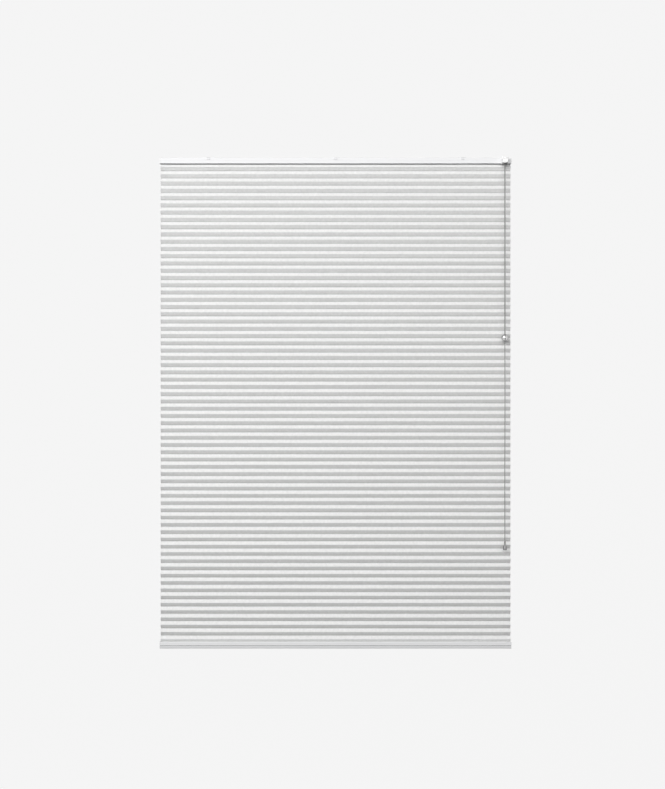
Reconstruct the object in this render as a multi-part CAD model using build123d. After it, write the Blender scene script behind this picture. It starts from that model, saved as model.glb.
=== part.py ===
from build123d import *
import os
from math import cos, hypot, radians, sin, tan

# Corded honeycomb blind, hung from three clips and fully lowered.
# X runs along the rails, the room side faces -Y and +Z is up.
# The origin is the middle screw hole, in the plane where the clips meet the surface above them.
# All sizes are in millimetres.

# Honeycomb fabric
cell_count = 66
cell_pitch = 19.0
pleat_depth = 7.0
glue_width = 5.0
fabric_wall = 0.35
fabric_side_gap = 0.3
cord_hole_across = 3.4
strip_width = 22.0
strip_thickness = 1.0

# Rails
rail_length = 915.6
rail_depth = 30.0
rail_wall = 1.2
rail_corner = 0.8
slot_lip = 1.0
slot_mouth = 9.0
clip_lip = 4.0
headrail_height = 14.6
headrail_groove_drop = 8.1
bottom_rail_height = 17.1
bottom_rail_groove_drop = 9.6
bottom_rail_wall = 1.5
bottom_rail_rim = 2.0
bottom_rail_taper = 1.2
bottom_rail_round = 2.5
groove_width = 1.0
groove_depth = 0.6
bottom_groove_width = 1.3
bottom_groove_depth = 0.9
cap_flange = 1.2
cap_plug = 6.0
cap_wall = 1.6

# Clips
clip_end_inset = 125.8
clip_sheet = 1.5
clip_width = 22.0
clip_tongue_width = 9.0
clip_tongue_drop = 6.5
clip_finger_width = 5.0
clip_foot = 3.0
clip_bend = 1.35
clip_face_gap = 0.3
screw_hole_radius = 2.3

# Cords
cord_spread = 460.0
cord_diameter = 1.4
cord_rise = 2.6
cord_bend = 4.0
cord_swing_run = 30.0
cord_swing_bend = 90.0
cord_pair_pitch = 1.8
cord_rear_offset = 4.0
knot_diameter = 3.6
lower_cord_diameter = 2.0

# Cord guides and anchors
guide_base = 1.0
guide_length = 24.0
guide_block_width = 6.8
guide_block_back = 5.0
guide_block_front = 7.5
guide_block_top = 2.2
guide_bore = 2.2
guide_boss_diameter = 5.6
guide_round = 1.0
anchor_stem_diameter = 7.6
anchor_flange_diameter = 11.0
anchor_flange = 0.8
anchor_bore = 2.4
anchor_chamber_diameter = 5.2
anchor_chamber_depth = 7.0

# Cord lock
lock_fence_radius = 9.0
lock_base = 1.0
lock_cheek = 1.4
lock_cheek_length = 19.0
lock_lead = 25.0
pawl_width = 5.4
pawl_hub_radius = 2.0
pawl_arm = 9.0
pawl_pivot_setback = 3.0
pawl_tooth_pitch = 1.1
pawl_tooth_count = 4
pawl_tooth_depth = 0.6
pawl_nose = 0.7
pawl_pin_diameter = 2.4
pawl_pin_drop = 3.9

# Hood and ring
hood_inset = 16.0
hood_width = 15.7
hood_wall = 1.5
hood_reach_past_ring = 8.0
hood_nose_radius = 4.0
hood_nose_fall = 2.0
hood_top_rise = 0.35
hood_tenon_width = 12.2
hood_tenon_height = 5.2
hood_tenon_wall = 1.1
ring_tilt = 16.0
ring_drop = 17.3
ring_diameter = 18.3
ring_wire = 3.0
ring_sleeve_wall = 0.8
ring_sleeve_height = 2.5

# Pull set
pull_side_offset = 0.8
ball_diameter = 18.3
ball_wall = 2.65
ball_rail_gap = 1.2
ball_lip_height = 0.7
ball_lip_width = 0.7
upper_pull_drop = 452.9
lower_pull_drop = 541.7
tassel_diameter = 9.8
tassel_length = 23.0
tassel_neck_diameter = 4.4
tassel_neck_length = 10.0
tassel_shoulder_drop = 6.5
tassel_round = 1.8
cord_end_depth = 4.0

# Clearances
soft_gap = 0.3
fit_gap = 0.1
running_gap = 0.05
cut_over = 1.0

# Levels
headrail_top = -clip_sheet
headrail_bottom = headrail_top - headrail_height
fabric_top = headrail_bottom + slot_lip
fabric_bottom = fabric_top - cell_count * cell_pitch
loop_inner_height = strip_thickness + 2 * soft_gap
loop_height = loop_inner_height + 2 * fabric_wall
slot_height = loop_height + 2 * soft_gap
slot_ceiling = fabric_top + slot_height
floor_top = slot_ceiling + rail_wall
cord_level = floor_top + cord_rise
lip_underside = headrail_top - rail_wall
bottom_lip_top = fabric_bottom + soft_gap + slot_lip
bottom_rail_top = bottom_lip_top + bottom_rail_rim
bottom_rail_bottom = bottom_rail_top - bottom_rail_height
bottom_slot_floor = bottom_lip_top - slot_lip - slot_height
chamber_top = bottom_slot_floor - bottom_rail_wall

# Places along and across the rails
half_rail = rail_length / 2
half_depth = rail_depth / 2
half_inside = half_depth - rail_wall
bottom_half_inside = half_depth - bottom_rail_wall
cord_radius = cord_diameter / 2
guide_xs = {"left": -cord_spread / 2, "right": cord_spread / 2}
clip_xs = {"left": -half_rail + clip_end_inset, "middle": 0.0, "right": half_rail - clip_end_inset}
hood_x = half_rail - hood_inset
pull_x = hood_x - pull_side_offset
pull_y = -(half_depth + ball_diameter / 2 + ball_rail_gap)
strand_xs = {"left": pull_x + cord_pair_pitch / 2, "right": pull_x - cord_pair_pitch / 2}
rear_ys = {"left": cord_rear_offset + cord_pair_pitch, "right": cord_rear_offset}
fence_x = strand_xs["right"] - lock_fence_radius
fence_y = rear_ys["right"] - lock_fence_radius

# The ring's seat is a plane through this point, tilted so that the ring faces down and to the room.
seat_z = headrail_top - ring_drop + ring_wire / 2
ring_up = Vector(0, sin(radians(ring_tilt)), cos(radians(ring_tilt)))
ring_centre = Vector(hood_x, pull_y, seat_z) - ring_up * (ring_wire / 2)
ring_plane = Plane(origin=ring_centre, x_dir=(1, 0, 0), z_dir=ring_up)
outlet_z = ring_centre.Z
ball_z = outlet_z - upper_pull_drop
tassel_top = ball_z - lower_pull_drop + tassel_length / 2


def block(x0, x1, y0, y1, z0, z1):
    return Pos((x0 + x1) / 2, (y0 + y1) / 2, (z0 + z1) / 2) * Box(abs(x1 - x0), abs(y1 - y0), abs(z1 - z0))


def area(y0, y1, z0, z1):
    return Pos((y0 + y1) / 2, (z0 + z1) / 2) * Rectangle(abs(y1 - y0), abs(z1 - z0))


def along_x(section, x0, x1):
    return extrude(Plane.YZ.offset(min(x0, x1)) * section, abs(x1 - x0))


def upright(x, y, radius, z0, z1):
    return Pos(x, y, (z0 + z1) / 2) * Cylinder(radius, z1 - z0)


def filleted(points, rounds):
    """A closed outline with the corners numbered in rounds filleted."""
    outline = make_face(Polyline(*points, close=True))
    for index, radius in rounds:
        corner = outline.vertices().sort_by_distance(points[index])[0]
        outline = fillet(corner, radius)
    return outline


def tube(points, bends, radius):
    if len(points) == 2:
        path = Line(*points)
    else:
        path = FilletPolyline(*points, radius=bends)
    return sweep(Plane(path @ 0, z_dir=path % 0) * Circle(radius), path=path)


def save(name, shape):
    """Writes one piece as parts/NAME.step."""
    solids = shape.solids()
    if len(solids) != 1:
        raise ValueError(f"{name} came out as {len(solids)} solids")
    solids[0].label = name
    export_step(solids[0], f"parts/{name}.step")


# Fabric


def slant_y(depth_below_crease):
    """How far the outside of a cell wall is from the middle, below the crease at the cell's top."""
    return glue_width / 2 + pleat_depth * depth_below_crease / (cell_pitch / 2)


def cell_opening(top):
    """The six corners of the hollow inside one cell."""
    slant = hypot(pleat_depth, cell_pitch / 2)
    shift = fabric_wall * slant / (cell_pitch / 2)
    flat = slant_y(fabric_wall) - shift
    nose = slant_y(cell_pitch / 2) - shift
    upper = top - fabric_wall
    middle = top - cell_pitch / 2
    lower = top - cell_pitch + fabric_wall
    return [(-flat, upper), (flat, upper), (nose, middle), (flat, lower), (-flat, lower), (-nose, middle)]


def loop_opening(bottom):
    """The four corners of the hollow that holds a stiff strip."""
    half = strip_width / 2 + soft_gap
    top = bottom + loop_inner_height
    return [(-half, bottom), (half, bottom), (half, top), (-half, top)]


def fabric_outline():
    """The outside of the fabric, down its rear side and back up its room side."""
    half_loop = strip_width / 2 + soft_gap + fabric_wall
    rear = [(half_loop, fabric_top + loop_height), (half_loop, fabric_top)]
    for number in range(cell_count):
        crease = fabric_top - number * cell_pitch
        rear.append((glue_width / 2, crease))
        rear.append((slant_y(cell_pitch / 2), crease - cell_pitch / 2))
    rear.append((glue_width / 2, fabric_bottom))
    rear.append((half_loop, fabric_bottom))
    rear.append((half_loop, fabric_bottom - loop_height))
    room = [(-y, z) for y, z in reversed(rear)]
    return rear + room


def make_fabric():
    half_width = half_rail - fabric_side_gap

    def wire(points):
        return Wire.make_polygon([Vector(-half_width, y, z) for y, z in points], close=True)

    hollows = [wire(cell_opening(fabric_top - number * cell_pitch)) for number in range(cell_count)]
    hollows.append(wire(loop_opening(fabric_top + fabric_wall)))
    hollows.append(wire(loop_opening(fabric_bottom - loop_height + fabric_wall)))
    section = Face(wire(fabric_outline()), hollows)
    fabric = extrude(section, 2 * half_width, dir=(1, 0, 0))
    top = fabric_top + loop_height + cut_over
    bottom = fabric_bottom - loop_height - cut_over
    for x in guide_xs.values():
        hole = Plane(origin=(x, 0, bottom)) * RegularPolygon(cord_hole_across / 2, 6, major_radius=False)
        fabric -= extrude(hole, top - bottom)
    return fabric


def make_strip(bottom):
    strip = block(-half_rail, half_rail, -strip_width / 2, strip_width / 2, bottom, bottom + strip_thickness)
    for x in guide_xs.values():
        strip -= upright(x, 0, cord_hole_across / 2, bottom - cut_over, bottom + strip_thickness + cut_over)
    return strip


# Headrail


def face_groove(side, level, width, depth):
    """A shallow line cut along a rail's face."""
    outer = side * (half_depth + cut_over)
    inner = side * (half_depth - depth)
    return area(inner, outer, level - width / 2, level + width / 2)


def headrail_outline():
    outline = area(-half_depth, half_depth, headrail_bottom, headrail_top)
    return fillet(outline.vertices(), rail_corner)


def make_headrail():
    section = headrail_outline()
    section -= area(-half_inside, half_inside, floor_top, lip_underside)
    mouth = half_inside - clip_lip
    section -= area(-mouth, mouth, lip_underside - cut_over, headrail_top + cut_over)
    section -= area(-half_inside, half_inside, fabric_top, slot_ceiling)
    section -= area(-slot_mouth / 2, slot_mouth / 2, headrail_bottom - cut_over, fabric_top + cut_over)
    for side in (-1, 1):
        section -= face_groove(side, headrail_top - headrail_groove_drop, groove_width, groove_depth)
    rail = along_x(section, -half_rail, half_rail)
    for x in guide_xs.values():
        rail -= upright(x, 0, guide_boss_diameter / 2, slot_ceiling - cut_over, floor_top + cut_over)
    half_window = hood_tenon_width / 2 + fit_gap
    window_low = cord_level - hood_tenon_height / 2 - fit_gap
    window_high = cord_level + hood_tenon_height / 2 + fit_gap
    rail -= block(
        hood_x - half_window,
        hood_x + half_window,
        -half_depth - cut_over,
        -half_inside + fit_gap,
        window_low,
        window_high,
    )
    return rail


def make_headrail_cap(side):
    """A flange over the rail's end and a plug, open on top, inside it."""
    inner = side * half_rail
    cap = along_x(headrail_outline(), inner, inner + side * cap_flange)
    half_plug = half_inside - fit_gap
    low = floor_top + fit_gap
    high = lip_underside - fit_gap
    plug = area(-half_plug, half_plug, low, high) - area(
        -half_plug + cap_wall, half_plug - cap_wall, low + cap_wall, high + cut_over
    )
    cap += along_x(plug, inner, inner - side * cap_plug)
    return cap


# Mounting clips


def make_clip(x):
    """A bent sheet: a plate, a tongue over the rail's face, two hooks in front and one at the rear."""
    inner_lip = half_inside - clip_lip
    leg_near = inner_lip - clip_face_gap
    leg_far = leg_near - clip_sheet
    foot_low = lip_underside - clip_sheet
    plate = block(-clip_width / 2, clip_width / 2, -leg_near, leg_near, -clip_sheet, 0)
    half_tongue = clip_tongue_width / 2
    tongue_inner = -half_depth - clip_face_gap
    tongue_section = filleted(
        [
            (-leg_near, 0),
            (tongue_inner - clip_sheet, 0),
            (tongue_inner - clip_sheet, -clip_tongue_drop),
            (tongue_inner, -clip_tongue_drop),
            (tongue_inner, -clip_sheet),
            (-leg_near, -clip_sheet),
        ],
        [(1, clip_bend)],
    )
    clip = plate + along_x(tongue_section, -half_tongue, half_tongue)
    hook = [
        (-leg_far, -clip_sheet),
        (-leg_near, -clip_sheet),
        (-leg_near, lip_underside),
        (-leg_near - clip_foot, lip_underside),
        (-leg_near - clip_foot, foot_low),
        (-leg_far, foot_low),
    ]
    hook_section = filleted(hook, [(5, clip_bend)])
    for start in (-clip_width / 2, clip_width / 2 - clip_finger_width):
        clip += along_x(hook_section, start, start + clip_finger_width)
    rear_section = mirror(hook_section, about=Plane.YZ)
    clip += along_x(rear_section, -half_tongue, half_tongue)
    clip -= upright(0, 0, screw_hole_radius, -clip_sheet - cut_over, cut_over)
    return Pos(x, 0, 0) * clip


# Cord guides, anchors and lift cords


def cord_route(side, start_z, end_z):
    """Corner points of a lift cord, from the bottom rail to the outlet ring."""
    x = guide_xs[side]
    rear = rear_ys[side]
    strand = strand_xs[side]
    return [
        (x, 0, start_z),
        (x, 0, cord_level),
        (x + cord_swing_run, rear, cord_level),
        (strand, rear, cord_level),
        (strand, pull_y, cord_level),
        (strand, pull_y, end_z),
    ]


def make_guide(side):
    x = guide_xs[side]
    half_plug = half_inside - fit_gap
    half_length = guide_length / 2
    guide = block(-half_length, half_length, -half_plug, half_plug, floor_top, floor_top + guide_base)
    turning = block(
        -guide_block_back,
        guide_block_front,
        -guide_block_width / 2,
        guide_block_width / 2,
        floor_top,
        cord_level + guide_block_top,
    )
    turning = fillet(turning.edges().group_by(Axis.Z)[-1], guide_round)
    guide = Pos(x, 0, 0) * (guide + turning)
    guide += upright(x, 0, guide_boss_diameter / 2 - fit_gap, slot_ceiling, floor_top + guide_base)
    start = (x, 0, slot_ceiling - cut_over)
    turn = (x, 0, cord_level)
    out = (x + cord_swing_run, rear_ys[side], cord_level)
    guide -= tube([start, turn, out], cord_bend, guide_bore / 2)
    return guide


def make_anchor(side):
    x = guide_xs[side]
    low = bottom_rail_bottom - anchor_flange
    anchor = upright(x, 0, anchor_stem_diameter / 2, bottom_rail_bottom, chamber_top)
    anchor += upright(x, 0, anchor_flange_diameter / 2, low, bottom_rail_bottom)
    anchor -= upright(x, 0, anchor_bore / 2, low, chamber_top + cut_over)
    anchor -= upright(x, 0, anchor_chamber_diameter / 2, low - cut_over, low + anchor_chamber_depth)
    return anchor


def make_lift_cord(side):
    knot_z = bottom_rail_bottom - anchor_flange + anchor_chamber_depth - knot_diameter / 2
    turn = lock_fence_radius + rear_ys[side] - rear_ys["right"]
    bends = [cord_bend, cord_swing_bend, turn, cord_bend]
    cord = tube(cord_route(side, knot_z, outlet_z), bends, cord_radius)
    return cord + Pos(guide_xs[side], 0, knot_z) * Sphere(knot_diameter / 2)


# Cord lock


def pawl_pivot():
    """The pawl's pin, in the plane of the rail's length and height."""
    return fence_x - lock_lead + lock_cheek_length / 2 - pawl_pivot_setback, headrail_top - pawl_pin_drop


def pawl_sides():
    middle = (rear_ys["left"] + rear_ys["right"]) / 2
    return middle - pawl_width / 2, middle + pawl_width / 2


def make_pawl():
    """A lever whose toothed foot hangs over the cords and swings up about its pin."""
    pivot_x, pivot_z = pawl_pivot()
    near, far = pawl_sides()
    foot = cord_level + cord_radius + soft_gap - pivot_z
    root = foot + pawl_tooth_depth
    heel = pawl_arm - pawl_tooth_count * pawl_tooth_pitch
    points = [(0, pawl_hub_radius), (pawl_arm, pawl_nose), (pawl_arm, root)]
    for number in range(pawl_tooth_count):
        tip = pawl_arm - (number + 1) * pawl_tooth_pitch
        points.append((tip, foot))
        points.append((tip, root))
    points.append((heel / 2, root))
    points.append((0, -pawl_hub_radius))
    lever = make_face(Polyline(*points, close=True)) + Circle(pawl_hub_radius)
    lever -= Circle(pawl_pin_diameter / 2 + running_gap)
    frame = Plane(origin=(pivot_x, far, pivot_z), x_dir=(1, 0, 0), z_dir=(0, -1, 0))
    return extrude(frame * lever, far - near)


def across(radius, x, z, y0, y1):
    """A round bar along Y."""
    return Pos(x, (y0 + y1) / 2, z) * Rot(90, 0, 0) * Cylinder(radius, y1 - y0)


def lock_cheek_sides():
    near, far = pawl_sides()
    return near - running_gap * 4, far + running_gap * 4


def make_pawl_pin():
    near, far = lock_cheek_sides()
    pivot_x, pivot_z = pawl_pivot()
    return across(pawl_pin_diameter / 2, pivot_x, pivot_z, near - lock_cheek, far + lock_cheek)


def make_lock_body():
    """A base with an anvil under the pawl, two cheeks for its pin and a round fence that turns the cords."""
    half_plug = half_inside - fit_gap
    start = fence_x - lock_lead
    end = half_rail - cap_plug - fit_gap
    body = block(start, end, -half_plug, half_plug, floor_top, floor_top + lock_base)
    near, far = lock_cheek_sides()
    cheek_top = lip_underside - fit_gap
    for inner, outer in ((near, near - lock_cheek), (far, far + lock_cheek)):
        body += block(start, start + lock_cheek_length, inner, outer, floor_top, cheek_top)
    anvil_top = cord_level - cord_radius - fit_gap
    anvil_start = pawl_pivot()[0]
    body += block(anvil_start, start + lock_cheek_length, near, far, floor_top, anvil_top)
    fence_radius = lock_fence_radius - cord_radius - fit_gap
    fence = upright(fence_x, fence_y, fence_radius, floor_top, cheek_top)
    fence_start = fence_x - fence_radius
    fence_end = fence_x + fence_radius
    fence &= block(fence_start, fence_end, -half_plug, half_plug, floor_top, cheek_top)
    body += fence
    corner_x = strand_xs["left"] + cord_radius + 3 * fit_gap
    body += block(corner_x, end, fence_y, rear_ys["left"], floor_top, cheek_top)
    pivot_x, pivot_z = pawl_pivot()
    pin_start = near - lock_cheek - cut_over
    pin_end = far + lock_cheek + cut_over
    body -= across(pawl_pin_diameter / 2, pivot_x, pivot_z, pin_start, pin_end)
    return body


# Outlet hood and ring


def seat_level(y):
    """Height of the hood's underside, which is tilted like the ring."""
    return seat_z + (pull_y - y) * tan(radians(ring_tilt))


def make_hood():
    front = pull_y - hood_reach_past_ring
    top = headrail_top + hood_top_rise
    back = -half_depth
    side = [
        (back, top),
        (front, top - hood_nose_fall),
        (front, seat_level(front)),
        (back, seat_level(back)),
    ]
    x0, x1 = hood_x - hood_width / 2, hood_x + hood_width / 2
    hood = along_x(filleted(side, [(1, hood_nose_radius), (2, hood_wall / 2)]), x0, x1)
    hood = fillet(hood.edges().filter_by(Axis.Z).group_by(Axis.Y)[0], hood_wall)
    inner = [
        (back - hood_wall, top - hood_wall),
        (front + hood_wall, top - hood_nose_fall - hood_wall),
        (front + hood_wall, seat_level(front) + hood_wall + ring_sleeve_height),
        (back - hood_wall, seat_level(back) + hood_wall + ring_sleeve_height),
    ]
    hood -= along_x(filleted(inner, [(1, hood_nose_radius - hood_wall)]), x0 + hood_wall, x1 - hood_wall)
    bend_y = pull_y + cord_bend
    bend_z = cord_level - cord_bend
    bar_radius = cord_bend - cord_radius - fit_gap
    bar = Pos(bend_y, bend_z) * Circle(bar_radius)
    bar += area(bend_y, back - hood_wall / 2, bend_z - bar_radius, bend_z + bar_radius)
    hood += along_x(bar, x0 + hood_wall / 2, x1 - hood_wall / 2)
    half_tenon = hood_tenon_width / 2
    low, high = cord_level - hood_tenon_height / 2, cord_level + hood_tenon_height / 2
    hood += block(hood_x - half_tenon, hood_x + half_tenon, back, -half_inside, low, high)
    hood -= block(
        hood_x - half_tenon + hood_tenon_wall,
        hood_x + half_tenon - hood_tenon_wall,
        back - hood_wall - cut_over,
        -half_inside + cut_over,
        low + hood_tenon_wall,
        high - hood_tenon_wall,
    )
    sleeve_radius = ring_diameter / 2 - ring_wire + ring_sleeve_wall
    bore_bottom = ring_wire / 2 - cut_over
    bore_height = ring_sleeve_height + cut_over
    bore_plane = ring_plane.offset(bore_bottom + bore_height / 2)
    hood -= bore_plane * Cylinder(sleeve_radius + running_gap, bore_height)
    mouth_radius = ring_diameter / 2 - ring_wire
    hood -= ring_plane * Pos(0, 0, ring_wire / 2 + ring_sleeve_height) * Cylinder(
        mouth_radius, 2 * hood_wall, align=(Align.CENTER, Align.CENTER, Align.CENTER)
    )
    return hood


def make_ring():
    """A rolled rim and the sleeve that holds it in the hood."""
    rim_radius = ring_diameter / 2 - ring_wire / 2
    inner = ring_diameter / 2 - ring_wire
    rim = Pos(rim_radius, 0) * Circle(ring_wire / 2)
    sleeve = Pos(inner + ring_sleeve_wall / 2, (ring_wire / 2 + ring_sleeve_height) / 2) * Rectangle(
        ring_sleeve_wall, ring_wire / 2 + ring_sleeve_height
    )
    ring = revolve(Plane.XZ * (rim + sleeve), Axis.Z)
    return ring_plane * ring


# Pull set


def make_pull_strand(side):
    x = strand_xs[side]
    end = ball_z + ball_diameter / 2 - cord_end_depth
    return upright(x, pull_y, cord_radius, end, outlet_z)


def make_connector_half(side):
    """Half of a hollow ball, split upright, with a lip on one half and its groove in the other."""
    outer = ball_diameter / 2
    inner = outer - ball_wall
    lip_low = (outer + inner - ball_lip_width) / 2
    lip_high = lip_low + ball_lip_width
    away = -1 if side == "left" else 1
    if side == "left":
        step = -away * ball_lip_height
    else:
        step = away * (ball_lip_height + fit_gap)
        lip_low -= running_gap
        lip_high += running_gap
    slant = sin(radians(45))
    profile = make_face(
        [
            ThreePointArc((away * outer, 0), (away * outer * slant, outer * slant), (0, outer)),
            Polyline((0, outer), (0, lip_high), (step, lip_high), (step, lip_low), (0, lip_low), (0, inner)),
            ThreePointArc((0, inner), (away * inner * slant, inner * slant), (away * inner, 0)),
            Line((away * inner, 0), (away * outer, 0)),
        ]
    )
    half = revolve(profile, Axis.X)
    top_hole = cord_pair_pitch / 2 + cord_radius + soft_gap + fit_gap
    half -= upright(0, 0, top_hole, 0, outer + cut_over)
    half -= upright(0, 0, lower_cord_diameter / 2, -outer - cut_over, 0)
    return Pos(pull_x, pull_y, ball_z) * half


def make_lower_cord():
    top = ball_z - ball_diameter / 2 + cord_end_depth
    bottom = tassel_top - tassel_neck_length
    return upright(pull_x, pull_y, lower_cord_diameter / 2, bottom, top)


def make_tassel():
    """A turned weight: a slim neck that opens into a long bell."""
    neck = tassel_neck_diameter / 2
    wide = tassel_diameter / 2
    shoulder = -tassel_neck_length - tassel_shoulder_drop
    profile = make_face(
        [
            Line((0, 0), (neck, 0)),
            Line((neck, 0), (neck, -tassel_neck_length)),
            Spline(
                (neck, -tassel_neck_length),
                (wide, shoulder),
                tangents=((0.5, -1), (0, -1)),
            ),
            Line((wide, shoulder), (wide, -tassel_length)),
            Line((wide, -tassel_length), (0, -tassel_length)),
            Line((0, -tassel_length), (0, 0)),
        ]
    )
    corner = profile.vertices().sort_by_distance((wide, -tassel_length))[0]
    profile = fillet(corner, tassel_round)
    tassel = revolve(Plane.XZ * profile, Axis.Z)
    tassel -= upright(0, 0, lower_cord_diameter / 2, -tassel_neck_length, cut_over)
    return Pos(pull_x, pull_y, tassel_top) * tassel


# Bottom rail


def bottom_rail_outline():
    """Upright faces down to the groove, then faces that lean in to a rounded underside."""
    lean_start = bottom_rail_top - bottom_rail_groove_drop
    lower = half_depth - bottom_rail_taper
    points = [
        (-half_depth, bottom_rail_top),
        (half_depth, bottom_rail_top),
        (half_depth, lean_start),
        (lower, bottom_rail_bottom),
        (-lower, bottom_rail_bottom),
        (-half_depth, lean_start),
    ]
    rounds = [(0, rail_corner), (1, rail_corner), (3, bottom_rail_round), (4, bottom_rail_round)]
    return filleted(points, rounds)


def chamber(gap):
    """The hollow below the slot, or what fills it with a gap all round."""
    half = bottom_half_inside - gap
    lower = half - bottom_rail_taper
    low = bottom_rail_bottom + bottom_rail_wall + gap
    high = chamber_top - gap
    lean_start = bottom_rail_top - bottom_rail_groove_drop
    room_side = [(half, high), (half, lean_start), (lower, low)]
    rear_side = [(-lower, low), (-half, lean_start)]
    points = [(-half, high), *room_side, *rear_side]
    inside_round = bottom_rail_round - bottom_rail_wall
    return filleted(points, [(3, inside_round), (4, inside_round)])


def make_bottom_rail():
    """A hollow rail whose rims stand up beside the slot for the fabric."""
    section = bottom_rail_outline()
    section -= chamber(0)
    section -= area(-bottom_half_inside, bottom_half_inside, bottom_lip_top, bottom_rail_top + cut_over)
    section -= area(-bottom_half_inside, bottom_half_inside, bottom_slot_floor, bottom_lip_top - slot_lip)
    mouth = slot_mouth / 2
    section -= area(-mouth, mouth, bottom_lip_top - slot_lip - cut_over, bottom_lip_top + cut_over)
    groove_level = bottom_rail_top - bottom_rail_groove_drop
    for side in (-1, 1):
        section -= face_groove(side, groove_level, bottom_groove_width, bottom_groove_depth)
    rail = along_x(section, -half_rail, half_rail)
    for x in guide_xs.values():
        rail -= upright(x, 0, guide_boss_diameter / 2, chamber_top - cut_over, bottom_slot_floor + cut_over)
        hole_top = bottom_rail_bottom + bottom_rail_wall + cut_over
        rail -= upright(x, 0, anchor_stem_diameter / 2, bottom_rail_bottom - cut_over, hole_top)
    return rail


def make_bottom_cap(side):
    inner = side * half_rail
    cap = along_x(bottom_rail_outline(), inner, inner + side * cap_flange)
    plug = chamber(fit_gap) - chamber(fit_gap + cap_wall)
    cap += along_x(plug, inner, inner - side * cap_plug)
    return cap


def main():
    os.makedirs("parts", exist_ok=True)
    save("headrail", make_headrail())
    save("headrail_cap_left", make_headrail_cap(-1))
    save("headrail_cap_right", make_headrail_cap(1))
    for name, x in clip_xs.items():
        save(f"mounting_clip_{name}", make_clip(x))
    save("fabric_strip_top", make_strip(fabric_top + fabric_wall))
    save("pleated_fabric", make_fabric())
    for side in ("left", "right"):
        save(f"cord_guide_{side}", make_guide(side))
        save(f"cord_anchor_{side}", make_anchor(side))
        save(f"lift_cord_{side}", make_lift_cord(side))
        save(f"pull_strand_{side}", make_pull_strand(side))
        save(f"connector_half_{side}", make_connector_half(side))
    save("lock_body", make_lock_body())
    save("lock_pawl", make_pawl())
    save("lock_pawl_pin", make_pawl_pin())
    save("cord_outlet_hood", make_hood())
    save("cord_outlet_ring", make_ring())
    save("lower_pull_cord", make_lower_cord())
    save("tassel", make_tassel())
    save("bottom_rail", make_bottom_rail())
    save("bottom_rail_cap_left", make_bottom_cap(-1))
    save("bottom_rail_cap_right", make_bottom_cap(1))
    save("fabric_strip_bottom", make_strip(fabric_bottom - fabric_wall - soft_gap - strip_thickness))


main()
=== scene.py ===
import math

import bpy
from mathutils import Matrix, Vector, noise


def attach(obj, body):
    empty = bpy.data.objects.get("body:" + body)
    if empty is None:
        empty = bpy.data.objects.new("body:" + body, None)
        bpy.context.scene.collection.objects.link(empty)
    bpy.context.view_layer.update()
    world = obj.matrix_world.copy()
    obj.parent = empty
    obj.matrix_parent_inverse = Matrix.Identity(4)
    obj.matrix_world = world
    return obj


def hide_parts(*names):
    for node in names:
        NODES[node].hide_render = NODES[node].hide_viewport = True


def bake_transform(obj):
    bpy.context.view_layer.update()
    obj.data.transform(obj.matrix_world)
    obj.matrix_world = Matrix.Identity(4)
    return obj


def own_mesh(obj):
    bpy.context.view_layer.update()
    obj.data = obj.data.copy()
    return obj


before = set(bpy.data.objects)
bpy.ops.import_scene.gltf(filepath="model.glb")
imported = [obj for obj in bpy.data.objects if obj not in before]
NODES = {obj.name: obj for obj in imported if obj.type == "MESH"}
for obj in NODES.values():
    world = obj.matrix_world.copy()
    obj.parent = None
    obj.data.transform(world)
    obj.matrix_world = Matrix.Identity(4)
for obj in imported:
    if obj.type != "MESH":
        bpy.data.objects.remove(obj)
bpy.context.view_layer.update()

# Sizes in metres, as in the part's source. X runs along the rails, the room is at -Y and Z is up.
MM = 0.001
# The groove along the bottom rail's face, where the rail's paint gets a band of painted shade.
GROOVE_Z = -1275.4 * MM
GROOVE_HALF = 0.5 * MM

# The honeycomb fabric. A half size is measured from the middle of a cell.
CELLS = 66
PITCH = 19.0 * MM
FABRIC_HALF = 457.5 * MM
FABRIC_TOP = -15.1 * MM
FABRIC_BOTTOM = FABRIC_TOP - CELLS * PITCH
SHEET = 0.35 * MM
GLUE = 0.015 * MM
GLUE_HALF = 2.5 * MM
HOLE_HALF = 1.7 * MM
NOSE_HALF = 9.5 * MM
NOSE_TIP = 0.22 * MM
NOSE_VARIES = 0.12 * MM
BOW = 0.3 * MM
WALL_STEPS = 4
WANDER = 0.22 * MM
LENGTH_STEPS = 18
LOOP_HALF = 11.65 * MM
LOOP_HEIGHT = 2.3 * MM

# The cords, the connector and the tassel
CORD_XS = (-230.0 * MM, 230.0 * MM)
CORD_DIAMETER = 1.4 * MM
CORD_LEVEL = -8.4 * MM
GUIDE_TURN = 30 * MM
LOCK_TURN = 12 * MM
KNOT_Z = -1278.5 * MM
KNOT_RADIUS = 1.75 * MM
PULL_X = 441.0 * MM
PULL_Y = -25.35 * MM
STRAND_OFFSET = 0.9 * MM
STRAND_BOW = 0.15 * MM
OUTLET_Z = -18.742 * MM
BALL_Z = OUTLET_Z - 452.9 * MM
BALL_DIAMETER = 18.3 * MM
# The half width of the painted shade along the connector's seam.
BALL_SEAM_SHADE_HALF = 0.6 * MM
CORD_IN_BALL = 4.0 * MM
STRAND_END = BALL_Z + BALL_DIAMETER / 2 - CORD_IN_BALL
LOWER_CORD_DIAMETER = 2.0 * MM
LOWER_CORD_TOP = BALL_Z - BALL_DIAMETER / 2 + CORD_IN_BALL
TASSEL_TOP = BALL_Z - 541.7 * MM + 11.5 * MM
LOWER_CORD_END = TASSEL_TOP - 10.0 * MM

# A crease sharper than its angle, in degrees, stays sharp in the shading.
FABRIC_CREASE = 24
TUBE_CREASE = 50
STAGE_CREASE = 60

# The camera and the lamps
CAMERA_PLACE = (-0.008, -4.2, -0.6195)
CAMERA_LENS = 73.14
CAMERA_SENSOR = 36
LAMPS_AIM = (0, 0, -0.6)


# Camera


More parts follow.
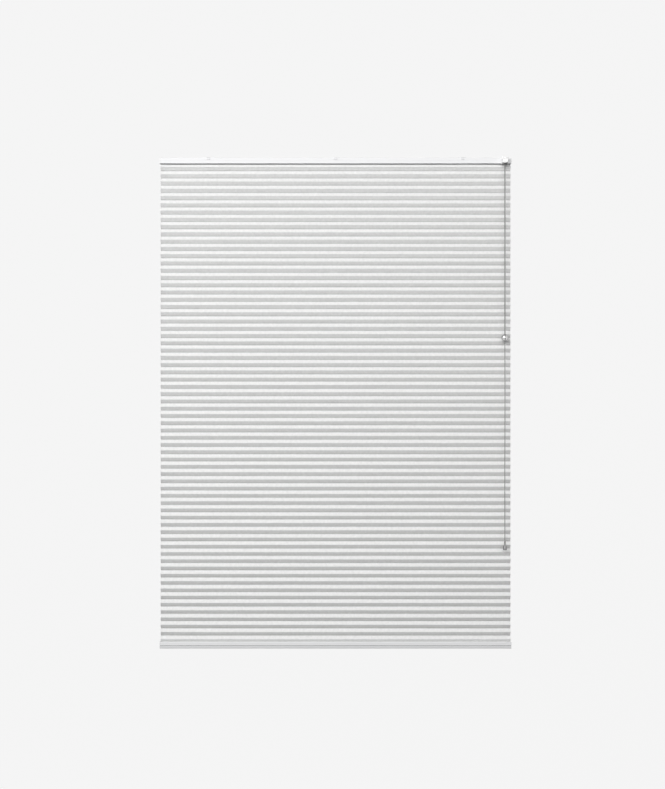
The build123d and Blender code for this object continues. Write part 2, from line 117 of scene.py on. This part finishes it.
def make_camera():
    data = bpy.data.cameras.new("camera")
    data.lens = CAMERA_LENS
    data.sensor_width = CAMERA_SENSOR
    camera = bpy.data.objects.new("camera", data)
    camera.location = CAMERA_PLACE
    camera.rotation_euler = (math.radians(90), 0, 0)
    bpy.context.collection.objects.link(camera)
    bpy.context.scene.camera = camera


make_camera()


# Mesh helpers


def add_mesh(name, verts, faces, crease):
    mesh = bpy.data.meshes.new(name)
    mesh.from_pydata([tuple(v) for v in verts], [], faces)
    mesh.validate()
    mesh.update()
    mesh.shade_smooth()
    mesh.set_sharp_from_angle(angle=math.radians(crease))
    obj = bpy.data.objects.new(name, mesh)
    bpy.context.collection.objects.link(obj)
    return obj


def add_route(name, points, diameter, resolution=10):
    """A cord as one NURBS spline, with the route's points as its control points."""
    curve = bpy.data.curves.new(name, "CURVE")
    curve.dimensions = "3D"
    curve.bevel_depth = diameter / 2
    curve.bevel_resolution = 4
    curve.resolution_u = resolution
    curve.use_fill_caps = True
    spline = curve.splines.new("NURBS")
    spline.points.add(len(points) - 1)
    for point, place in zip(spline.points, points):
        point.co = (*place, 1)
    spline.order_u = 3
    spline.use_endpoint_u = True
    obj = bpy.data.objects.new(name, curve)
    bpy.context.collection.objects.link(obj)
    return obj


def centre_line(route):
    """Points along a route's own spline, as Blender gives them for a curve with no bevel."""
    route.data.bevel_depth = 0
    bpy.context.view_layer.update()
    evaluated = route.evaluated_get(bpy.context.evaluated_depsgraph_get())
    mesh = bpy.data.meshes.new_from_object(evaluated)
    points = [v.co.copy() for v in mesh.vertices]
    bpy.data.meshes.remove(mesh)
    return points


def tube_mesh(name, points, diameter, sides=16):
    """A round tube along points, with closed ends."""
    verts, faces = [], []
    side = Vector((1, 0, 0))
    for i, point in enumerate(points):
        along = (points[min(i + 1, len(points) - 1)] - points[max(i - 1, 0)]).normalized()
        side = side - along * side.dot(along)
        if side.length < 1e-6:
            side = along.orthogonal()
        side.normalize()
        other = along.cross(side)
        for k in range(sides):
            angle = 2 * math.pi * k / sides
            verts.append(point + (side * math.cos(angle) + other * math.sin(angle)) * (diameter / 2))
    for i in range(len(points) - 1):
        for k in range(sides):
            n = (k + 1) % sides
            faces.append((i * sides + k, i * sides + n, (i + 1) * sides + n, (i + 1) * sides + k))
    last = (len(points) - 1) * sides
    faces.append(tuple(range(sides - 1, -1, -1)))
    faces.append(tuple(range(last, last + sides)))
    return add_mesh(name, verts, faces, TUBE_CREASE)


def cord_mesh(name, points, diameter):
    """A cord as a mesh tube along its route's own spline, for a piece that is squashed or blended."""
    route = add_route(name + "_route", points, diameter, resolution=24)
    line = centre_line(route)
    bpy.data.objects.remove(route)
    return tube_mesh(name, line, diameter), line


# Cords


def knot_mesh(name, centre):
    """An overhand knot pulled tight: a trefoil of cord in a small ball."""
    steps, width, height = 60, 3.9, 2.2
    points = []
    for i in range(steps + 1):
        t = 2 * math.pi * i / steps
        x = math.sin(t) + 2 * math.sin(2 * t)
        y = math.cos(t) - 2 * math.cos(2 * t)
        z = -math.sin(3 * t)
        points.append(Vector(centre) + Vector((x / width, y / width, z / height)) * KNOT_RADIUS)
    return tube_mesh(name, points, CORD_DIAMETER * 0.75, sides=10)


def lift_cord(side, x, rear, strand):
    """The drop, which shortens as the blind rises, its knot, and the run through the rail and the hood.

    rear is how far back the run lies in the rail, and strand is where it comes out along X.
    """
    drop, _ = cord_mesh(
        f"lift_cord_drop_{side}",
        [(x, 0, KNOT_Z), (x, 0, KNOT_Z / 2), (x, 0, CORD_LEVEL - 3.6 * MM)],
        CORD_DIAMETER,
    )
    knot = knot_mesh(f"lift_cord_knot_{side}", (x, 0, KNOT_Z))
    run = add_route(
        f"lift_cord_run_{side}",
        [
            (x, 0, CORD_LEVEL - 4 * MM),
            (x, 0, CORD_LEVEL),
            (x + GUIDE_TURN, rear, CORD_LEVEL),
            (x + 2 * GUIDE_TURN, rear, CORD_LEVEL),
            (strand - LOCK_TURN, rear, CORD_LEVEL),
            (strand, rear, CORD_LEVEL),
            (strand, rear - LOCK_TURN, CORD_LEVEL),
            (strand, PULL_Y + 5 * MM, CORD_LEVEL),
            (strand, PULL_Y, CORD_LEVEL),
            (strand, PULL_Y, CORD_LEVEL - 5 * MM),
            (strand, PULL_Y, OUTLET_Z),
        ],
        CORD_DIAMETER,
    )
    return drop, knot, run


def pull_strand(side, x, bow):
    """A limp strand that hangs from the ring to the connector, with a very small bow between."""
    return cord_mesh(
        f"pull_cord_{side}",
        [
            (x, PULL_Y, OUTLET_Z),
            (x, PULL_Y, OUTLET_Z - 40 * MM),
            (x + bow, PULL_Y, OUTLET_Z - 160 * MM),
            (x + bow, PULL_Y - bow, OUTLET_Z - 300 * MM),
            (x, PULL_Y, STRAND_END + 60 * MM),
            (x, PULL_Y, STRAND_END),
        ],
        CORD_DIAMETER,
    )


drop_left, knot_left, run_left = lift_cord("left", CORD_XS[0], 5.8 * MM, PULL_X + STRAND_OFFSET)
drop_right, knot_right, run_right = lift_cord("right", CORD_XS[1], 4.0 * MM, PULL_X - STRAND_OFFSET)
strand_left, strand_left_points = pull_strand("left", PULL_X + STRAND_OFFSET, STRAND_BOW)
strand_right, strand_right_points = pull_strand("right", PULL_X - STRAND_OFFSET, -STRAND_BOW)
lower_cord = add_route(
    "pull_cord_lower",
    [
        (PULL_X, PULL_Y, LOWER_CORD_TOP),
        (PULL_X, PULL_Y, LOWER_CORD_TOP - 40 * MM),
        (PULL_X + 0.4 * MM, PULL_Y, LOWER_CORD_TOP - 180 * MM),
        (PULL_X - 0.3 * MM, PULL_Y, LOWER_CORD_TOP - 360 * MM),
        (PULL_X, PULL_Y, LOWER_CORD_END + 40 * MM),
        (PULL_X, PULL_Y, LOWER_CORD_END),
    ],
    LOWER_CORD_DIAMETER,
    resolution=24,
)


# Fabric


def inset(ring, distance):
    """A closed ring of (y, z) points moved inward, with mitred corners."""
    sharpest = 0.45
    count = len(ring)
    normals = []
    for i in range(count):
        (y0, z0), (y1, z1) = ring[i], ring[(i + 1) % count]
        dy, dz = y1 - y0, z1 - z0
        size = math.hypot(dy, dz)
        normals.append((-dz / size, dy / size))
    out = []
    for i in range(count):
        (ay, az), (by, bz) = normals[i - 1], normals[i]
        ny, nz = ay + by, az + bz
        size = math.hypot(ny, nz)
        ny, nz = ny / size, nz / size
        reach = distance / max(sharpest, ny * by + nz * bz)
        out.append((ring[i][0] - ny * reach, ring[i][1] - nz * reach))
    return out


def wall_curve(y0, z0, y1, z1):
    """Points from just after the first end to just before the last, bowed to the side."""
    out = []
    dy, dz = y1 - y0, z1 - z0
    size = math.hypot(dy, dz)
    for i in range(1, WALL_STEPS):
        t = i / WALL_STEPS
        push = BOW * math.sin(math.pi * t)
        out.append((y0 + dy * t - dz / size * push, z0 + dz * t + dy / size * push))
    return out


def cell_ring(top, bottom, nose):
    """The outside of one cell, as (y, z) points from the room end of its upper glue line, and their folds.

    A fold is 0 on a glue line and 1 at a nose.
    """
    middle = (top + bottom) / 2
    high, low = middle + NOSE_TIP, middle - NOSE_TIP
    crown = nose + NOSE_TIP * 0.6
    flat = [-GLUE_HALF, -HOLE_HALF, HOLE_HALF, GLUE_HALF]
    ramp = [i / WALL_STEPS for i in range(1, WALL_STEPS)]
    ring, folds = [], []
    for points, values in (
        ([(y, top) for y in flat], [0] * len(flat)),
        (wall_curve(GLUE_HALF, top, nose, high), ramp),
        ([(nose, high), (crown, middle), (nose, low)], [1, 1, 1]),
        (wall_curve(nose, low, GLUE_HALF, bottom), ramp[::-1]),
        ([(y, bottom) for y in reversed(flat)], [0] * len(flat)),
        (wall_curve(-GLUE_HALF, bottom, -nose, low), ramp),
        ([(-nose, low), (-crown, middle), (-nose, high)], [1, 1, 1]),
        (wall_curve(-nose, high, -GLUE_HALF, top), ramp[::-1]),
    ):
        ring += points
        folds += values
    return ring, folds


def stations():
    """Places along X: even steps, and one at each edge of the cord holes."""
    xs = [-FABRIC_HALF + 2 * FABRIC_HALF * i / LENGTH_STEPS for i in range(LENGTH_STEPS + 1)]
    for x in CORD_XS:
        xs = [v for v in xs if abs(v - x) > 3 * HOLE_HALF]
        xs += [x - HOLE_HALF, x + HOLE_HALF]
    return sorted(xs)


def is_hole_edge(ring, i, level):
    """Whether the ring's edge from point i crosses a cord hole in the flat at this level."""
    ends = ring[i], ring[(i + 1) % len(ring)]
    return all(abs(z - level) < 1e-7 and abs(abs(y) - HOLE_HALF) < 1e-7 for y, z in ends)


def unevenness(x, number, waves, layer):
    """A smooth random value between -1 and 1 along X, with a course of its own in every cell."""
    return noise.noise(Vector((x * waves, number * 3.1, layer)))


def add_tube(verts, faces, folds, outer, ring_folds, number=0, amplitude=0):
    """One thin-walled tube along X, open in the middle and closed over its cut edges, with the cord holes.

    Its noses wander by the amplitude, and its glue lines stay in place.
    """
    xs = stations()
    inner = inset(outer, SHEET)
    count = len(outer)
    base = len(verts)
    for x in xs:
        dy = unevenness(x, number, 7, 0.3) * amplitude
        dz = unevenness(x, number, 5, 9.3) * amplitude
        for ring in (outer, inner):
            for (y, z), fold in zip(ring, ring_folds):
                verts.append((x, y + fold * dy * (1 if y > 0 else -1), z + fold * dz))
                folds.append(fold)
    levels = max(z for _, z in outer), min(z for _, z in outer)
    pierced = [i for i in range(count) if any(is_hole_edge(outer, i, level) for level in levels)]
    stride = 2 * count
    for i in range(len(xs) - 1):
        a, b = base + i * stride, base + (i + 1) * stride
        at_hole = any(abs((xs[i] + xs[i + 1]) / 2 - x) < HOLE_HALF / 2 for x in CORD_XS)
        for k in range(count):
            n = (k + 1) % count
            if at_hole and k in pierced:
                for p, q in ((a + k, a + n), (a + n, b + n), (b + n, b + k), (b + k, a + k)):
                    faces.append((p, q, q + count, p + count))
                continue
            faces.append((a + k, b + k, b + n, a + n))
            faces.append((a + count + k, a + count + n, b + count + n, b + count + k))
    last = base + (len(xs) - 1) * stride
    for k in range(count):
        n = (k + 1) % count
        faces.append((base + k, base + n, base + count + n, base + count + k))
        faces.append((last + k, last + count + k, last + count + n, last + n))


def fabric_mesh(name, verts, faces, folds):
    """A mesh that keeps every point's fold, for the fabric's material."""
    obj = add_mesh(name, verts, faces, FABRIC_CREASE)
    attribute = obj.data.attributes.new("fold", "FLOAT", "POINT")
    attribute.data.foreach_set("value", folds)
    return obj


def make_cells():
    verts, faces, folds = [], [], []
    for number in range(CELLS):
        top = FABRIC_TOP - number * PITCH - GLUE
        bottom = FABRIC_TOP - (number + 1) * PITCH + GLUE
        nose = NOSE_HALF + NOSE_VARIES * noise.noise(Vector((number * 1.7, 2.2, 0)))
        ring, ring_folds = cell_ring(top, bottom, nose)
        add_tube(verts, faces, folds, ring, ring_folds, number, WANDER)
    return fabric_mesh("honeycomb_fabric", verts, faces, folds)


def make_loop(name, low):
    """The flat loop at one end, which a stiff strip holds inside a rail."""
    verts, faces, folds = [], [], []
    high = low + LOOP_HEIGHT
    flat = [-LOOP_HALF, -GLUE_HALF, -HOLE_HALF, HOLE_HALF, GLUE_HALF, LOOP_HALF]
    ring = [(y, high) for y in flat] + [(y, low) for y in reversed(flat)]
    add_tube(verts, faces, folds, ring, [0] * len(ring))
    return fabric_mesh(name, verts, faces, folds)


fabric = make_cells()
loop_top = make_loop("fabric_loop_top", FABRIC_TOP + GLUE)
loop_bottom = make_loop("fabric_loop_bottom", FABRIC_BOTTOM - LOOP_HEIGHT - GLUE)


# Materials


def grey(level):
    return (level, level, level)


class Nodes:
    """A material's node tree, with short calls for the nodes used here.

    A value given to a node is a number or a colour, or the output of another node.
    """

    def __init__(self, name):
        self.material = bpy.data.materials.new(name)
        self.material.use_nodes = True
        self.tree = self.material.node_tree
        self.tree.nodes.clear()
        self.output = self.tree.nodes.new("ShaderNodeOutputMaterial")
        self.shader = self.tree.nodes.new("ShaderNodeBsdfPrincipled")
        self.feed(self.output.inputs["Surface"], self.shader.outputs["BSDF"])
        self.where = self.tree.nodes.new("ShaderNodeTexCoord").outputs["Object"]

    def feed(self, socket, value):
        if isinstance(value, bpy.types.NodeSocket):
            self.tree.links.new(value, socket)
        else:
            socket.default_value = value

    def set(self, **values):
        """Values of the Principled shader, with its names' spaces written as underscores."""
        for name, value in values.items():
            self.feed(self.shader.inputs[name.replace("_", " ")], value)

    def axes(self):
        node = self.tree.nodes.new("ShaderNodeSeparateXYZ")
        self.feed(node.inputs["Vector"], self.where)
        return node.outputs

    def noise(self, scale, detail, roughness=0.55):
        """Noise with one scale, or with one for each axis."""
        where = self.where
        if isinstance(scale, tuple):
            mapping = self.tree.nodes.new("ShaderNodeMapping")
            self.feed(mapping.inputs["Scale"], scale)
            self.feed(mapping.inputs["Vector"], where)
            where, scale = mapping.outputs["Vector"], 1.0
        node = self.tree.nodes.new("ShaderNodeTexNoise")
        for name, value in (
            ("Scale", scale),
            ("Detail", detail),
            ("Roughness", roughness),
            ("Vector", where),
        ):
            self.feed(node.inputs[name], value)
        return node.outputs["Fac"]

    def ramp(self, value, stops):
        """A colour from a value, through stops of a place and a colour."""
        node = self.tree.nodes.new("ShaderNodeValToRGB")
        ramp = node.color_ramp
        while len(ramp.elements) < len(stops):
            ramp.elements.new(0.5)
        for element, (place, colour) in zip(ramp.elements, stops):
            element.position = place
            element.color = (*colour, 1)
        self.feed(node.inputs["Fac"], value)
        return node.outputs["Color"]

    def span(self, value, low, high):
        """A value from 0 to 1 spread between low and high."""
        node = self.tree.nodes.new("ShaderNodeMapRange")
        self.feed(node.inputs["To Min"], low)
        self.feed(node.inputs["To Max"], high)
        self.feed(node.inputs["Value"], value)
        return node.outputs["Result"]

    def math(self, kind, a, b=0):
        node = self.tree.nodes.new("ShaderNodeMath")
        node.operation = kind
        self.feed(node.inputs[0], a)
        self.feed(node.inputs[1], b)
        return node.outputs["Value"]

    def weighted(self, a, share_a, b, share_b):
        return self.math("ADD", self.math("MULTIPLY", a, share_a), self.math("MULTIPLY", b, share_b))

    def band(self, axis, middle, half):
        """1 within half of a place on one axis of the part's frame, falling to 0 just outside."""
        away = self.math("ABSOLUTE", self.math("SUBTRACT", self.axes()[axis], middle))
        near = self.math("SUBTRACT", 1.3, self.math("DIVIDE", away, half))
        return self.math("MINIMUM", self.math("MAXIMUM", self.math("MULTIPLY", near, 3.3), 0), 1)

    def multiplied(self, colour, other, share=1.0):
        """A colour times another, or only by some share of the way."""
        node = self.tree.nodes.new("ShaderNodeMix")
        node.data_type = "RGBA"
        node.blend_type = "MULTIPLY"
        self.feed(node.inputs["Factor"], share)
        self.feed(node.inputs[6], colour)
        self.feed(node.inputs[7], other)
        return node.outputs[2]

    def bump(self, height, distance, strength):
        node = self.tree.nodes.new("ShaderNodeBump")
        self.feed(node.inputs["Distance"], distance)
        self.feed(node.inputs["Strength"], strength)
        self.feed(node.inputs["Height"], height)
        self.set(Normal=node.outputs["Normal"])


def fabric_material():
    """White non-woven polyester: fine crossing fibres, a soft mottle, a little light through it, and
    painted shade towards the bottom of each crease.
    """
    m = Nodes("white_nonwoven_fabric")
    fibres_a = m.noise((260, 900, 2600), detail=4.0, roughness=0.7)
    fibres_b = m.noise((1500, 700, 900), detail=4.0, roughness=0.7)
    fibres = m.math("MAXIMUM", fibres_a, fibres_b)
    texture = m.weighted(fibres, 0.6, m.noise(140, detail=4.0), 0.4)
    cloth = m.ramp(
        texture,
        [(0.35, (0.76, 0.76, 0.755)), (0.55, (0.855, 0.855, 0.851)), (0.72, (0.93, 0.93, 0.928))],
    )
    fold = m.tree.nodes.new("ShaderNodeAttribute")
    fold.attribute_name = "fold"
    # Painted shade: the cloth's colour darkens towards the bottom of each crease, where the walls meet,
    # standing in for the shade there.
    crease_shade = m.ramp(fold.outputs["Fac"], [(0.0, grey(0.62)), (0.15, grey(0.91)), (0.4, grey(1.0))])
    m.set(Base_Color=m.multiplied(cloth, crease_shade), Roughness=0.88)
    m.set(Sheen_Weight=0.08, Sheen_Roughness=0.6, Specular_IOR_Level=0.25)
    m.bump(texture, distance=0.13 * MM, strength=0.9)
    through = m.tree.nodes.new("ShaderNodeBsdfTranslucent")
    m.feed(through.inputs["Color"], (0.86, 0.86, 0.855, 1))
    mix = m.tree.nodes.new("ShaderNodeMixShader")
    m.feed(mix.inputs["Fac"], 0.05)
    m.feed(mix.inputs[1], m.shader.outputs["BSDF"])
    m.feed(mix.inputs[2], through.outputs["BSDF"])
    m.feed(m.output.inputs["Surface"], mix.outputs["Shader"])
    return m.material


def paint_material(name, level, roughness, groove=None):
    """Satin powder coat over aluminium, with a fine orange peel and faint marks. A groove gets painted
    shade: a dark grey band that stands for the shade in it.
    """
    m = Nodes(name)
    marks = m.noise((9, 60, 60), detail=3.0)
    low = (level - 0.016, level - 0.012, level - 0.004)
    high = (level + 0.002, level + 0.006, level + 0.014)
    colour = m.ramp(marks, [(0.3, low), (0.7, high)])
    if groove:
        # Painted shade: the band along the groove is multiplied towards dark grey, standing in for the
        # shade in the groove.
        colour = m.multiplied(colour, (*grey(0.3), 1), m.band("Z", *groove))
    m.set(Base_Color=colour, Roughness=m.span(marks, roughness - 0.04, roughness + 0.06))
    m.set(Specular_IOR_Level=0.35)
    m.bump(m.noise(900, detail=2.0), distance=0.02 * MM, strength=0.5)
    return m.material


def plastic_material(name, level, roughness, tint=grey(1.0)):
    """Moulded plastic with a fine spark texture and slightly uneven gloss."""
    m = Nodes(name)
    grain = m.noise(2200, detail=2.0)
    cloud = m.noise(45, detail=3.0)
    low = tuple(t * (level - 0.015) for t in tint)
    high = tuple(t * (level + 0.01) for t in tint)
    m.set(Base_Color=m.ramp(cloud, [(0.35, low), (0.65, high)]))
    m.set(Roughness=m.span(grain, roughness - 0.05, roughness + 0.08))
    m.bump(grain, distance=0.012 * MM, strength=0.5)
    return m.material


def metal_material(name, level, roughness, edge=0.5, brushed=True, seam_shade=None):
    """Metal, polished or with fine brushed lines. edge is its tint near grazing angles. seam_shade is a
    near-black band of painted shade along a seam, where shade falls between two halves.
    """
    m = Nodes(name)
    smudge = m.noise(220, detail=3.0)
    colour = m.ramp(smudge, [(0.3, grey(level * 0.94)), (0.7, grey(level))])
    if seam_shade:
        # Painted shade: a near-black band along the seam between the connector's halves, standing in for
        # the shade in the gap.
        colour = m.multiplied(colour, (*grey(0.08), 1), m.band("X", *seam_shade))
    m.set(Base_Color=colour, Roughness=m.span(smudge, roughness * 0.8, roughness * 1.4))
    m.set(Metallic=1.0, Specular_Tint=(*grey(edge), 1))
    if brushed:
        m.bump(m.noise((400, 400, 6000), detail=3.0), distance=0.01 * MM, strength=0.6)
    return m.material


def cord_material(name, level):
    """Braided polyester cord: crossing diagonal plaits about a millimetre long."""
    m = Nodes(name)
    axes = m.axes()
    rise = m.math("MULTIPLY", axes["Z"], 5200)
    turn = m.math("MULTIPLY", m.math("ADD", axes["X"], axes["Y"]), 6400)
    one = m.math("SINE", m.math("ADD", rise, turn))
    two = m.math("SINE", m.math("SUBTRACT", rise, turn))
    texture = m.weighted(m.math("MAXIMUM", one, two), 0.35, m.noise(5200, detail=2.0), 0.5)
    stops = [(0.0, grey(level * 0.68)), (0.35, grey(level)), (0.8, grey(min(1.0, level * 1.25)))]
    m.set(Base_Color=m.ramp(texture, stops), Roughness=0.75, Sheen_Weight=0.2)
    m.bump(texture, distance=0.06 * MM, strength=0.7)
    return m.material


FABRIC = fabric_material()
PAINT = paint_material("white_powder_coat", 0.82, 0.42)
PAINT_WITH_GROOVE_SHADE = paint_material("white_powder_coat_groove_shade", 0.82, 0.42, (GROOVE_Z, GROOVE_HALF))
CLIP = paint_material("white_clip_enamel", 0.74, 0.3)
PLASTIC = plastic_material("white_moulding", 0.82, 0.36)
CAP = plastic_material("white_end_cap", 0.66, 0.42)
HOOD = plastic_material("white_gloss_hood", 0.84, 0.24)
STRIP = plastic_material("clear_stiff_strip", 0.6, 0.3, (0.98, 1.0, 1.0))
CHROME = metal_material("bright_chrome", 0.62, 0.08, 0.1, brushed=False, seam_shade=(PULL_X, BALL_SEAM_SHADE_HALF))
RING = metal_material("satin_nickel_ring", 0.45, 0.34, 0.25)
STEEL = metal_material("steel_pin", 0.5, 0.25)
CORD = cord_material("grey_braided_cord", 0.27)
TASSEL = metal_material("dark_satin_tassel", 0.26, 0.42, 0.12)


def paint(material, pieces):
    for piece in pieces:
        piece.data.materials.clear()
        piece.data.materials.append(material)


for material, names in (
    (PAINT, ["headrail"]),
    (PAINT_WITH_GROOVE_SHADE, ["bottom_rail"]),
    (CAP, [f"{rail}_cap_{side}" for rail in ("headrail", "bottom_rail") for side in ("left", "right")]),
    (CLIP, [f"mounting_clip_{place}" for place in ("left", "middle", "right")]),
    (STRIP, ["fabric_strip_top", "fabric_strip_bottom"]),
    (PLASTIC, ["cord_guide_left", "cord_guide_right", "cord_anchor_left", "cord_anchor_right"]),
    (PLASTIC, ["lock_body", "lock_pawl"]),
    (STEEL, ["lock_pawl_pin"]),
    (HOOD, ["cord_outlet_hood"]),
    (RING, ["cord_outlet_ring"]),
    (CHROME, ["connector_half_left", "connector_half_right"]),
    (TASSEL, ["tassel"]),
):
    paint(material, [NODES[name] for name in names])
paint(FABRIC, [fabric, loop_top, loop_bottom])
paint(CORD, [strand_left, strand_right, lower_cord])
paint(CORD, [drop_left, drop_right, knot_left, knot_right, run_left, run_right])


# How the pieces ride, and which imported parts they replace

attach(fabric, "headrail_set")
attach(loop_top, "headrail_set")
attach(loop_bottom, "bottom_rail_set")
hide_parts("pleated_fabric")
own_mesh(fabric)

for side, drop, knot, run in (
    ("left", drop_left, knot_left, run_left),
    ("right", drop_right, knot_right, run_right),
):
    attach(run, "headrail_set")
    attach(drop, "headrail_set")
    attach(knot, "bottom_rail_set")
    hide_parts(f"lift_cord_{side}")
    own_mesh(drop)

for strand, points, side in (
    (strand_left, strand_left_points, "left"),
    (strand_right, strand_right_points, "right"),
):
    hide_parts(f"pull_strand_{side}")
    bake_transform(strand)

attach(lower_cord, "pull_set")
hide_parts("lower_pull_cord")


# Stage and light


def by_ray(tree, seen, bounced):
    """One value for camera, glossy and transmission rays, and another for light that bounces."""
    path = tree.nodes.new("ShaderNodeLightPath")
    mask = path.outputs["Is Camera Ray"]
    for name in ("Is Glossy Ray", "Is Transmission Ray"):
        either = tree.nodes.new("ShaderNodeMath")
        either.operation = "MAXIMUM"
        tree.links.new(mask, either.inputs[0])
        tree.links.new(path.outputs[name], either.inputs[1])
        mask = either.outputs["Value"]
    span = tree.nodes.new("ShaderNodeMapRange")
    span.inputs["To Min"].default_value = bounced
    span.inputs["To Max"].default_value = seen
    tree.links.new(mask, span.inputs["Value"])
    return span.outputs["Result"]


def make_stage():
    """A pale wall that sweeps into a pale floor. Its glow is only seen, so it lights nothing."""
    half_width, front_y, wall_y, floor_z, top_z = 9.0, -9.0, 6.5, -4.2, 6.0
    bend, bend_steps = 1.5, 12
    profile = [(front_y, floor_z), (wall_y - bend, floor_z)]
    for i in range(1, bend_steps):
        angle = math.radians(90 * i / bend_steps)
        y = wall_y - bend + bend * math.sin(angle)
        profile.append((y, floor_z + bend - bend * math.cos(angle)))
    profile += [(wall_y, floor_z + bend), (wall_y, top_z)]
    verts = [(x, y, z) for y, z in profile for x in (-half_width, half_width)]
    faces = [(2 * i, 2 * i + 1, 2 * i + 3, 2 * i + 2) for i in range(len(profile) - 1)]
    stage = add_mesh("stage", verts, faces, STAGE_CREASE)
    m = Nodes("pale_stage")
    m.set(
        Base_Color=by_ray(m.tree, seen=0.05, bounced=0.12),
        Emission_Strength=by_ray(m.tree, seen=0.895, bounced=0.0),
        Emission_Color=(1, 1, 1, 1),
        Roughness=0.95,
        Specular_IOR_Level=0.1,
    )
    paint(m.material, [stage])


def make_world():
    world = bpy.data.worlds.new("world")
    bpy.context.scene.world = world
    world.use_nodes = True
    tree = world.node_tree
    background = tree.nodes["Background"]
    background.inputs["Color"].default_value = (1, 1, 1, 1)
    tree.links.new(by_ray(tree, seen=0.9, bounced=0.05), background.inputs["Strength"])


def add_lamp(name, place, size, watts):
    """A rectangular lamp that is turned to the blind's middle."""
    data = bpy.data.lights.new(name, "AREA")
    data.shape = "RECTANGLE"
    data.size, data.size_y = size
    data.energy = watts
    lamp = bpy.data.objects.new(name, data)
    lamp.location = place
    lamp.rotation_euler = (Vector(LAMPS_AIM) - Vector(place)).to_track_quat("-Z", "Y").to_euler()
    lamp.visible_camera = False
    bpy.context.collection.objects.link(lamp)


make_stage()
make_world()
add_lamp("key", place=(-1.3, -4.4, 1.25), size=(8.0, 2.0), watts=350)
add_lamp("back", place=(0.9, 4.4, 1.4), size=(3.0, 1.5), watts=210)
bpy.context.scene.view_settings.view_transform = "Standard"
